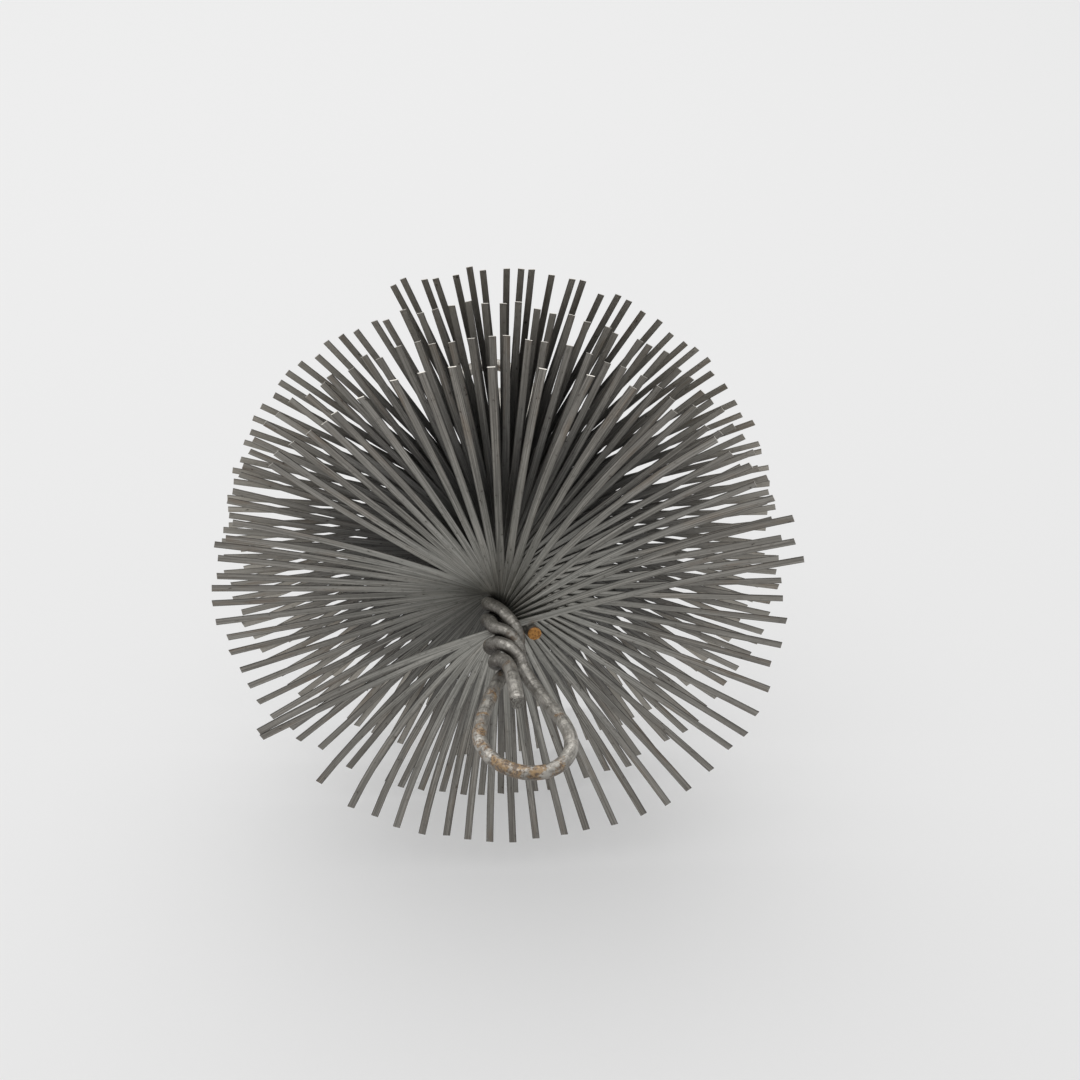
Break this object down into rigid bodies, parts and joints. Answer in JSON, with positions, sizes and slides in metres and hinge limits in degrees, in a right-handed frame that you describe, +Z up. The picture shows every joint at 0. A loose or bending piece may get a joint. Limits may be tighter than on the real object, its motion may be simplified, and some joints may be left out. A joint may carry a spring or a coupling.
{
  "type": "chimney sweep brush",
  "caption": "Round wire flue brush: flat spring-steel bristles held in a twisted galvanised wire core, with a pulling eye at each end.",
  "frame": {"origin": "on the floor under the middle of the brush's box, where the lowest bristle tips rest", "axes": "+Y along the twisted core from the front eye to the rear eye, +Z up"},
  "size_m": [0.1528, 0.1804, 0.1585],
  "materials": {
    "spring_steel_strip": "dark, dull flat spring steel strip with brown heat and rust tints and bright sheared ends",
    "galvanised_wire": "light grey galvanised steel wire, mottled, with brown rust on the bends and the cut ends"
  },
  "bodies": {
    "root": {"bristle_fan_01": "spring_steel_strip", "bristle_fan_02": "spring_steel_strip", "bristle_fan_03": "spring_steel_strip", "bristle_fan_04": "spring_steel_strip", "bristle_fan_05": "spring_steel_strip", "bristle_fan_06": "spring_steel_strip", "bristle_fan_07": "spring_steel_strip", "bristle_fan_08": "spring_steel_strip", "bristle_fan_09": "spring_steel_strip", "bristle_fan_10": "spring_steel_strip", "bristle_fan_11": "spring_steel_strip", "bristle_fan_12": "spring_steel_strip", "bristle_fan_13": "spring_steel_strip", "bristle_fan_14": "spring_steel_strip", "bristle_fan_15": "spring_steel_strip", "bristle_fan_16": "spring_steel_strip", "bristle_fan_17": "spring_steel_strip", "bristle_fan_18": "spring_steel_strip", "bristle_fan_19": "spring_steel_strip", "bristle_fan_20": "spring_steel_strip", "bristle_fan_21": "spring_steel_strip", "bristle_fan_22": "spring_steel_strip", "front_eye_wire": "galvanised_wire", "rear_eye_wire": "galvanised_wire"}
  },
  "joints": []
}
